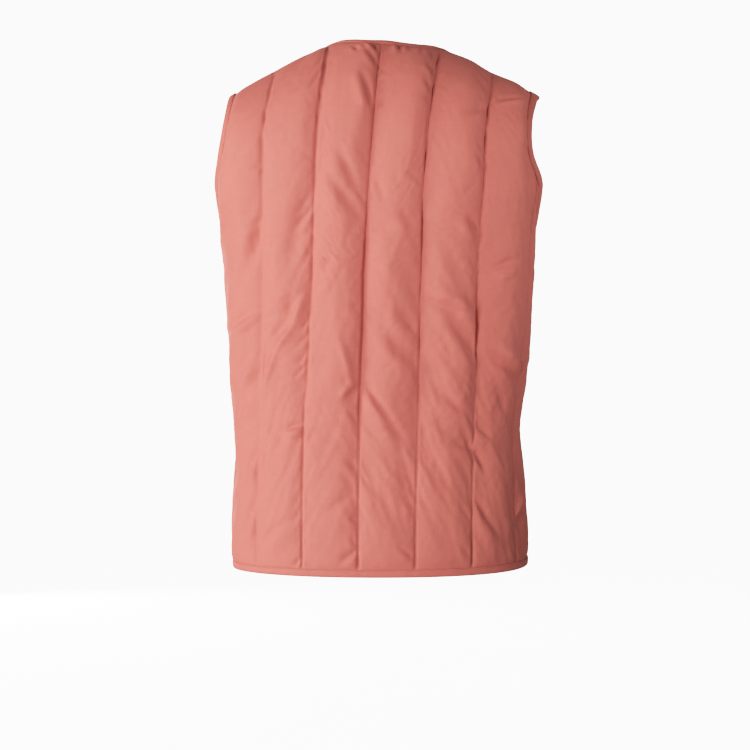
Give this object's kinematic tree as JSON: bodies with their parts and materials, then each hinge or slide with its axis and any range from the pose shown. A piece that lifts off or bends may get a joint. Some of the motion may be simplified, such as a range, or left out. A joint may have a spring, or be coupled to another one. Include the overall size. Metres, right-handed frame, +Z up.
{
  "type": "quilted gilet",
  "caption": "Sleeveless, collarless quilted gilet in its worn, hollow form, with upright padded channels, bound edges and a front that snaps shut.",
  "frame": {"origin": "between the two shoulder seams, level with their neck ends, where the wearer's shoulders carry it", "axes": "+Z up the wearer, -Y out of the front, +X to the wearer's left"},
  "size_m": [0.4189, 0.2834, 0.6871],
  "materials": {
    "quilted_cloth": "plain-woven polyester shell over wadding, matt with a faint sheen, terracotta",
    "binding_cloth": "folded strip of the shell cloth, edge-stitched",
    "snap_metal": "nickel-plated snap cap, satin"
  },
  "bodies": {
    "root": {"back": "quilted_cloth", "front_left": "quilted_cloth", "front_right": "quilted_cloth", "hem_binding": "binding_cloth", "neck_binding": "binding_cloth", "armhole_binding_left": "binding_cloth", "armhole_binding_right": "binding_cloth", "snap_1": "snap_metal", "snap_2": "snap_metal", "snap_3": "snap_metal", "snap_4": "snap_metal", "snap_5": "snap_metal"}
  },
  "joints": []
}
